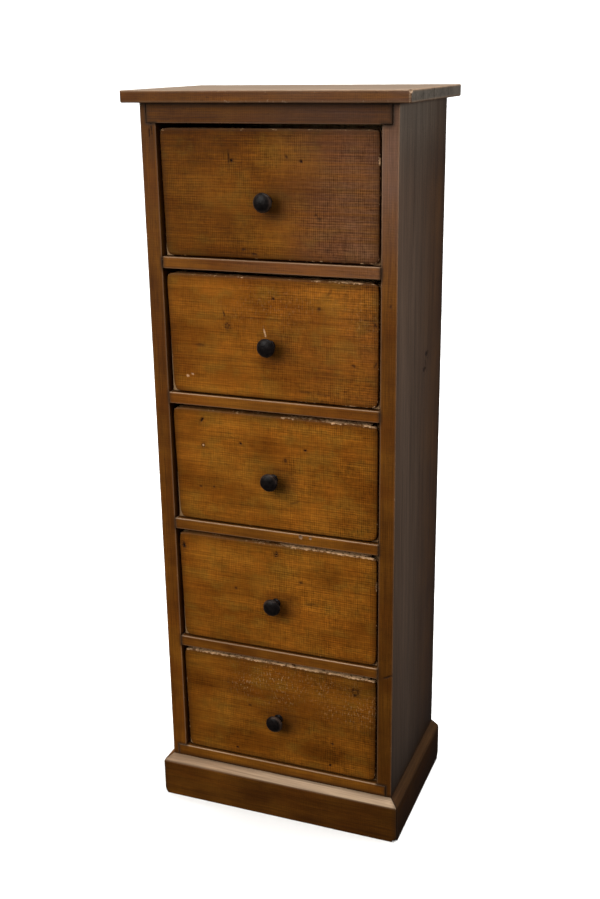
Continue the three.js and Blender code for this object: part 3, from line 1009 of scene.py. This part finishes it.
def surface_sink(points, fields, wobble, seed):
    """How far a board's surface lies in: an uneven face all over, and chips beside its worn edges."""
    sink = wobble * (0.5 + 0.5 * ripple(points, 45, 2, seed))
    chips = np.maximum(0.0, ripple(points, 13, 2, seed + 5) - 0.05) * 1.2 * fields["worn"]
    return np.clip(sink + chips * np.exp(-fields["edge"] / 2.0), 0.0, 1.4)


def make_board(node, look):
    """A worn board in the shape of its CAD node."""
    low, high = box_mm(node)
    is_front = kind_of(node) == "drawer_front"
    mesh = clean_copy(node)
    outward = sharp_edges(mesh)
    segments = [(np.array(edge.verts[0].co), np.array(edge.verts[1].co)) for edge in outward]
    if look.ease:
        bmesh.ops.bevel(
            mesh, geom=outward, offset=look.ease, segments=2, profile=0.5, affect="EDGES", clamp_overlap=True
        )
    borders = (1.0, 2.2, 3.6) if is_front else (look.ease + 0.8, look.ease + 2.4)
    slice_grid(mesh, low, high, look.step, borders)
    refine_marks(mesh, node, low, high)
    points = points_of(mesh)
    normals = normals_of(mesh)
    fields, dents = board_fields(points, normals, segments, node, look, low, high)
    seed = float(low[2] % 97 + low[0] % 13)
    sink = surface_sink(points, fields, look.wobble, seed) + dents
    points = points - normals * sink[:, None]
    if is_front:
        points = reshape_front(points, drawer_number(node), low, high)
    if kind_of(node).startswith("plinth"):
        points = round_corners(points)
    move_points(mesh, scoop(points, fields, node))
    finish_piece(mesh, node + "_wood", node, look.material, fields)


# ---- Knobs and screws ----

KNOB_SIDES = 56
KNOB_STEPS = 5
# Where the rim's widest part is, and how broad the painted highlight ring on it is, in millimetres.
RIM_RADIUS = 13.6
RIM_BREADTH = 1.8
# Half widths and heights above the drawer's face, from the foot over the neck and the rim to the middle.
KNOB_OUTLINE = (
    *((3.5, 0.1), (7.6, 0.1), (7.8, 1.2), (6.6, 3.0), (5.6, 5.6)),
    *((5.4, 9.0), (6.2, 12.2), (10.2, 15.6)),
    *((13.4, 17.0), (14.6, 18.9), (14.2, 20.8), (12.2, 22.7), (7.0, 24.6), (0.0, 25.4)),
)


def smooth_outline(corners, steps):
    """A Catmull-Rom curve through the corners."""
    path = [np.array(corner) for corner in corners]
    path = [path[0]] + path + [path[-1]]
    curve = []
    for before, start, end, after in zip(path, path[1:], path[2:], path[3:]):
        for step in range(steps):
            t = step / steps
            curve.append(
                0.5 * (2 * start + (end - before) * t + (2 * before - 5 * start + 4 * end - after) * t**2
                       + (3 * start - before - 3 * end + after) * t**3)
            )
    return curve + [path[-1]]


def turned_mesh(outline, across, face, up):
    """A closed turning round a level axis through (across, up), standing out from a face towards -Y."""
    mesh = bmesh.new()
    rings = []
    for radius, height in outline[:-1]:
        ring = []
        for side in range(KNOB_SIDES):
            angle = 2 * math.pi * side / KNOB_SIDES
            place = (across + radius * math.cos(angle), face - height, up + radius * math.sin(angle))
            ring.append(mesh.verts.new(place))
        rings.append(ring)
    tip = mesh.verts.new((across, face - outline[-1][1], up))
    join_rings(mesh, rings)
    for side in range(KNOB_SIDES):
        mesh.faces.new((rings[-1][side], rings[-1][(side + 1) % KNOB_SIDES], tip))
    mesh.faces.new(rings[0])
    bmesh.ops.recalc_face_normals(mesh, faces=mesh.faces)
    return mesh


def make_knob(number, material):
    """A turned mushroom knob, a little out of true, with a patchy painted highlight on its rim."""
    node = f"drawer_{number}_knob"
    low, high = box_mm(node)
    face = box_mm(f"drawer_{number}_front")[0][1]
    middle = (low + high) / 2
    mesh = turned_mesh(smooth_outline(KNOB_OUTLINE, KNOB_STEPS), middle[0], face, middle[2])
    points = points_of(mesh)
    normals = normals_of(mesh)
    radius = np.hypot(points[:, 0] - middle[0], points[:, 2] - middle[2])
    rim = np.exp(-((radius - RIM_RADIUS) / RIM_BREADTH) ** 2)
    sink = 0.10 + 0.10 * ripple(points, 7, 2, number * 3.1)
    move_points(mesh, points - normals * np.clip(sink, 0, 0.3)[:, None])
    finish_piece(mesh, node + "_turned", node, material, {"rim": rim})


def dress_screws(material):
    """Gives the CAD screws their material, because their shape is right already."""
    for number in DRAWERS:
        data = frame["nodes"][f"drawer_{number}_knob_screw"].data
        data.materials.clear()
        data.materials.append(material)


# ---- Stage, lights and camera ----

# The camera's place in metres, and its lens and sensor in millimetres.
CAMERA_PLACE = (0.6707, -1.7288, 1.2451)
CAMERA_LENS = 47.27
CAMERA_SENSOR = 36.0
# Its yaw, pitch and roll in degrees, and the quarter turn up from looking straight down.
CAMERA_TURNS = ((21.18, "Z"), (-18.47, "X"), (0.80, "Y"), (90, "X"))
# The flat floor's radius, the bend's radius and the wall's height, in metres.
SWEEP_FLAT = 3.6
SWEEP_BEND = 1.5
SWEEP_HEIGHT = 6.0
SWEEP_SIDES = 96
BEND_STEPS = 13
PAPER_DARK = (0.86, 0.86, 0.86)
PAPER_LIGHT = (0.90, 0.90, 0.89)
# The room's light from the horizon down, and from where it is at its brightest overhead.
ROOM_LOW = (0.10, 0.10, 0.10)
ROOM_HIGH = (0.55, 0.55, 0.55)
ROOM_HIGH_FROM = 0.9


def make_camera():
    """The standpoint: right of the chest and level with its top, looking down at its middle."""
    camera = add_object("camera", bpy.data.cameras.new("camera"))
    camera.data.lens = CAMERA_LENS
    camera.data.sensor_width = CAMERA_SENSOR
    place = Matrix.Translation(CAMERA_PLACE)
    for degrees, axis in CAMERA_TURNS:
        place = place @ Matrix.Rotation(math.radians(degrees), 4, axis)
    camera.matrix_world = place
    bpy.context.scene.camera = camera


def sweep_mesh():
    """A round floor that curves up into a wall on every side."""
    turns = np.linspace(0, math.pi / 2, BEND_STEPS)
    bend = [(SWEEP_FLAT + math.sin(turn) * SWEEP_BEND, (1 - math.cos(turn)) * SWEEP_BEND) for turn in turns]
    outline = [(SWEEP_FLAT / 2, 0.0), *bend, (SWEEP_FLAT + SWEEP_BEND, SWEEP_HEIGHT)]
    around = np.linspace(0, 2 * math.pi, SWEEP_SIDES, endpoint=False)
    mesh = bmesh.new()
    rings = [
        [mesh.verts.new((radius * math.cos(turn), radius * math.sin(turn), height)) for turn in around]
        for radius, height in outline
    ]
    mesh.faces.new(rings[0])
    join_rings(mesh, rings[::-1])
    return smooth_mesh(mesh, "paper_sweep")


def white_paper(name):
    """Matt white paper, faintly clouded."""
    shader = Shader(name, specular=0.0)
    clouds = shader.noise((3, 3, 3), detail=3)
    return shader.done(shader.blend(clouds, PAPER_DARK, PAPER_LIGHT), 1.0)


def make_sweep():
    """A pale paper sweep far round the chest.

    It is lit and shadowed, but lights and shades nothing itself, because the chest stands in a darker room.
    """
    data = sweep_mesh()
    data.materials.append(white_paper("white_paper"))
    sweep = add_object("paper_sweep", data)
    sweep.visible_diffuse = False
    sweep.visible_glossy = False
    sweep.visible_shadow = False


def make_light(name, place, target, size, power, colour):
    """A soft rectangular light that faces its target, with its size in metres and its power in watts."""
    light = add_object(name, bpy.data.lights.new(name, "AREA"))
    light.data.shape = "RECTANGLE"
    light.data.size, light.data.size_y = size
    light.data.energy = power
    light.data.color = colour
    light.location = place
    light.rotation_euler = (Vector(target) - Vector(place)).to_track_quat("-Z", "Y").to_euler()


def make_room():
    """A grey room, dim below the horizon and brighter overhead."""
    world = bpy.data.worlds.new("room")
    world.use_nodes = True
    nodes, links = world.node_tree.nodes, world.node_tree.links
    direction = nodes.new("ShaderNodeTexCoord").outputs["Generated"]
    split = nodes.new("ShaderNodeSeparateXYZ")
    rise = nodes.new("ShaderNodeValToRGB")
    links.new(direction, split.inputs[0])
    links.new(split.outputs["Z"], rise.inputs[0])
    low_stop, high_stop = rise.color_ramp.elements
    low_stop.position = 0.0
    low_stop.color = (*ROOM_LOW, 1)
    high_stop.position = ROOM_HIGH_FROM
    high_stop.color = (*ROOM_HIGH, 1)
    links.new(rise.outputs[0], nodes["Background"].inputs["Color"])
    nodes["Background"].inputs["Strength"].default_value = 1.0
    bpy.context.scene.world = world
    bpy.context.scene.view_settings.view_transform = "Standard"


def make_lights():
    """Three soft lights round the chest, and one that whitens the wall behind it."""
    make_light("front_softbox", (-1.2, -2.6, 2.0), (0, 0, 0.65), (1.8, 1.8), 75, (1.0, 0.98, 0.95))
    make_light("overhead_softbox", (0.3, -0.3, 2.9), (0.05, 0, 0.9), (1.6, 1.6), 60, (1.0, 0.99, 0.97))
    make_light("side_softbox", (2.2, 0.25, 0.9), (0.2, 0, 0.75), (1.0, 1.4), 22, (1.0, 1.0, 1.0))
    make_light("wall_light", (-0.5, 1.6, 5.0), (-0.8, 4.8, 0.8), (8.0, 2.0), 620, (1.0, 1.0, 1.0))


# ---- The scene ----

make_camera()
looks = make_looks()
for node in sorted(frame["nodes"]):
    if kind_of(node) in looks:
        make_board(node, looks[kind_of(node)])
iron = black_metal("black_metal")
for number in DRAWERS:
    make_knob(number, iron)
dress_screws(zinc_steel("zinc_steel"))
make_sweep()
make_room()
make_lights()
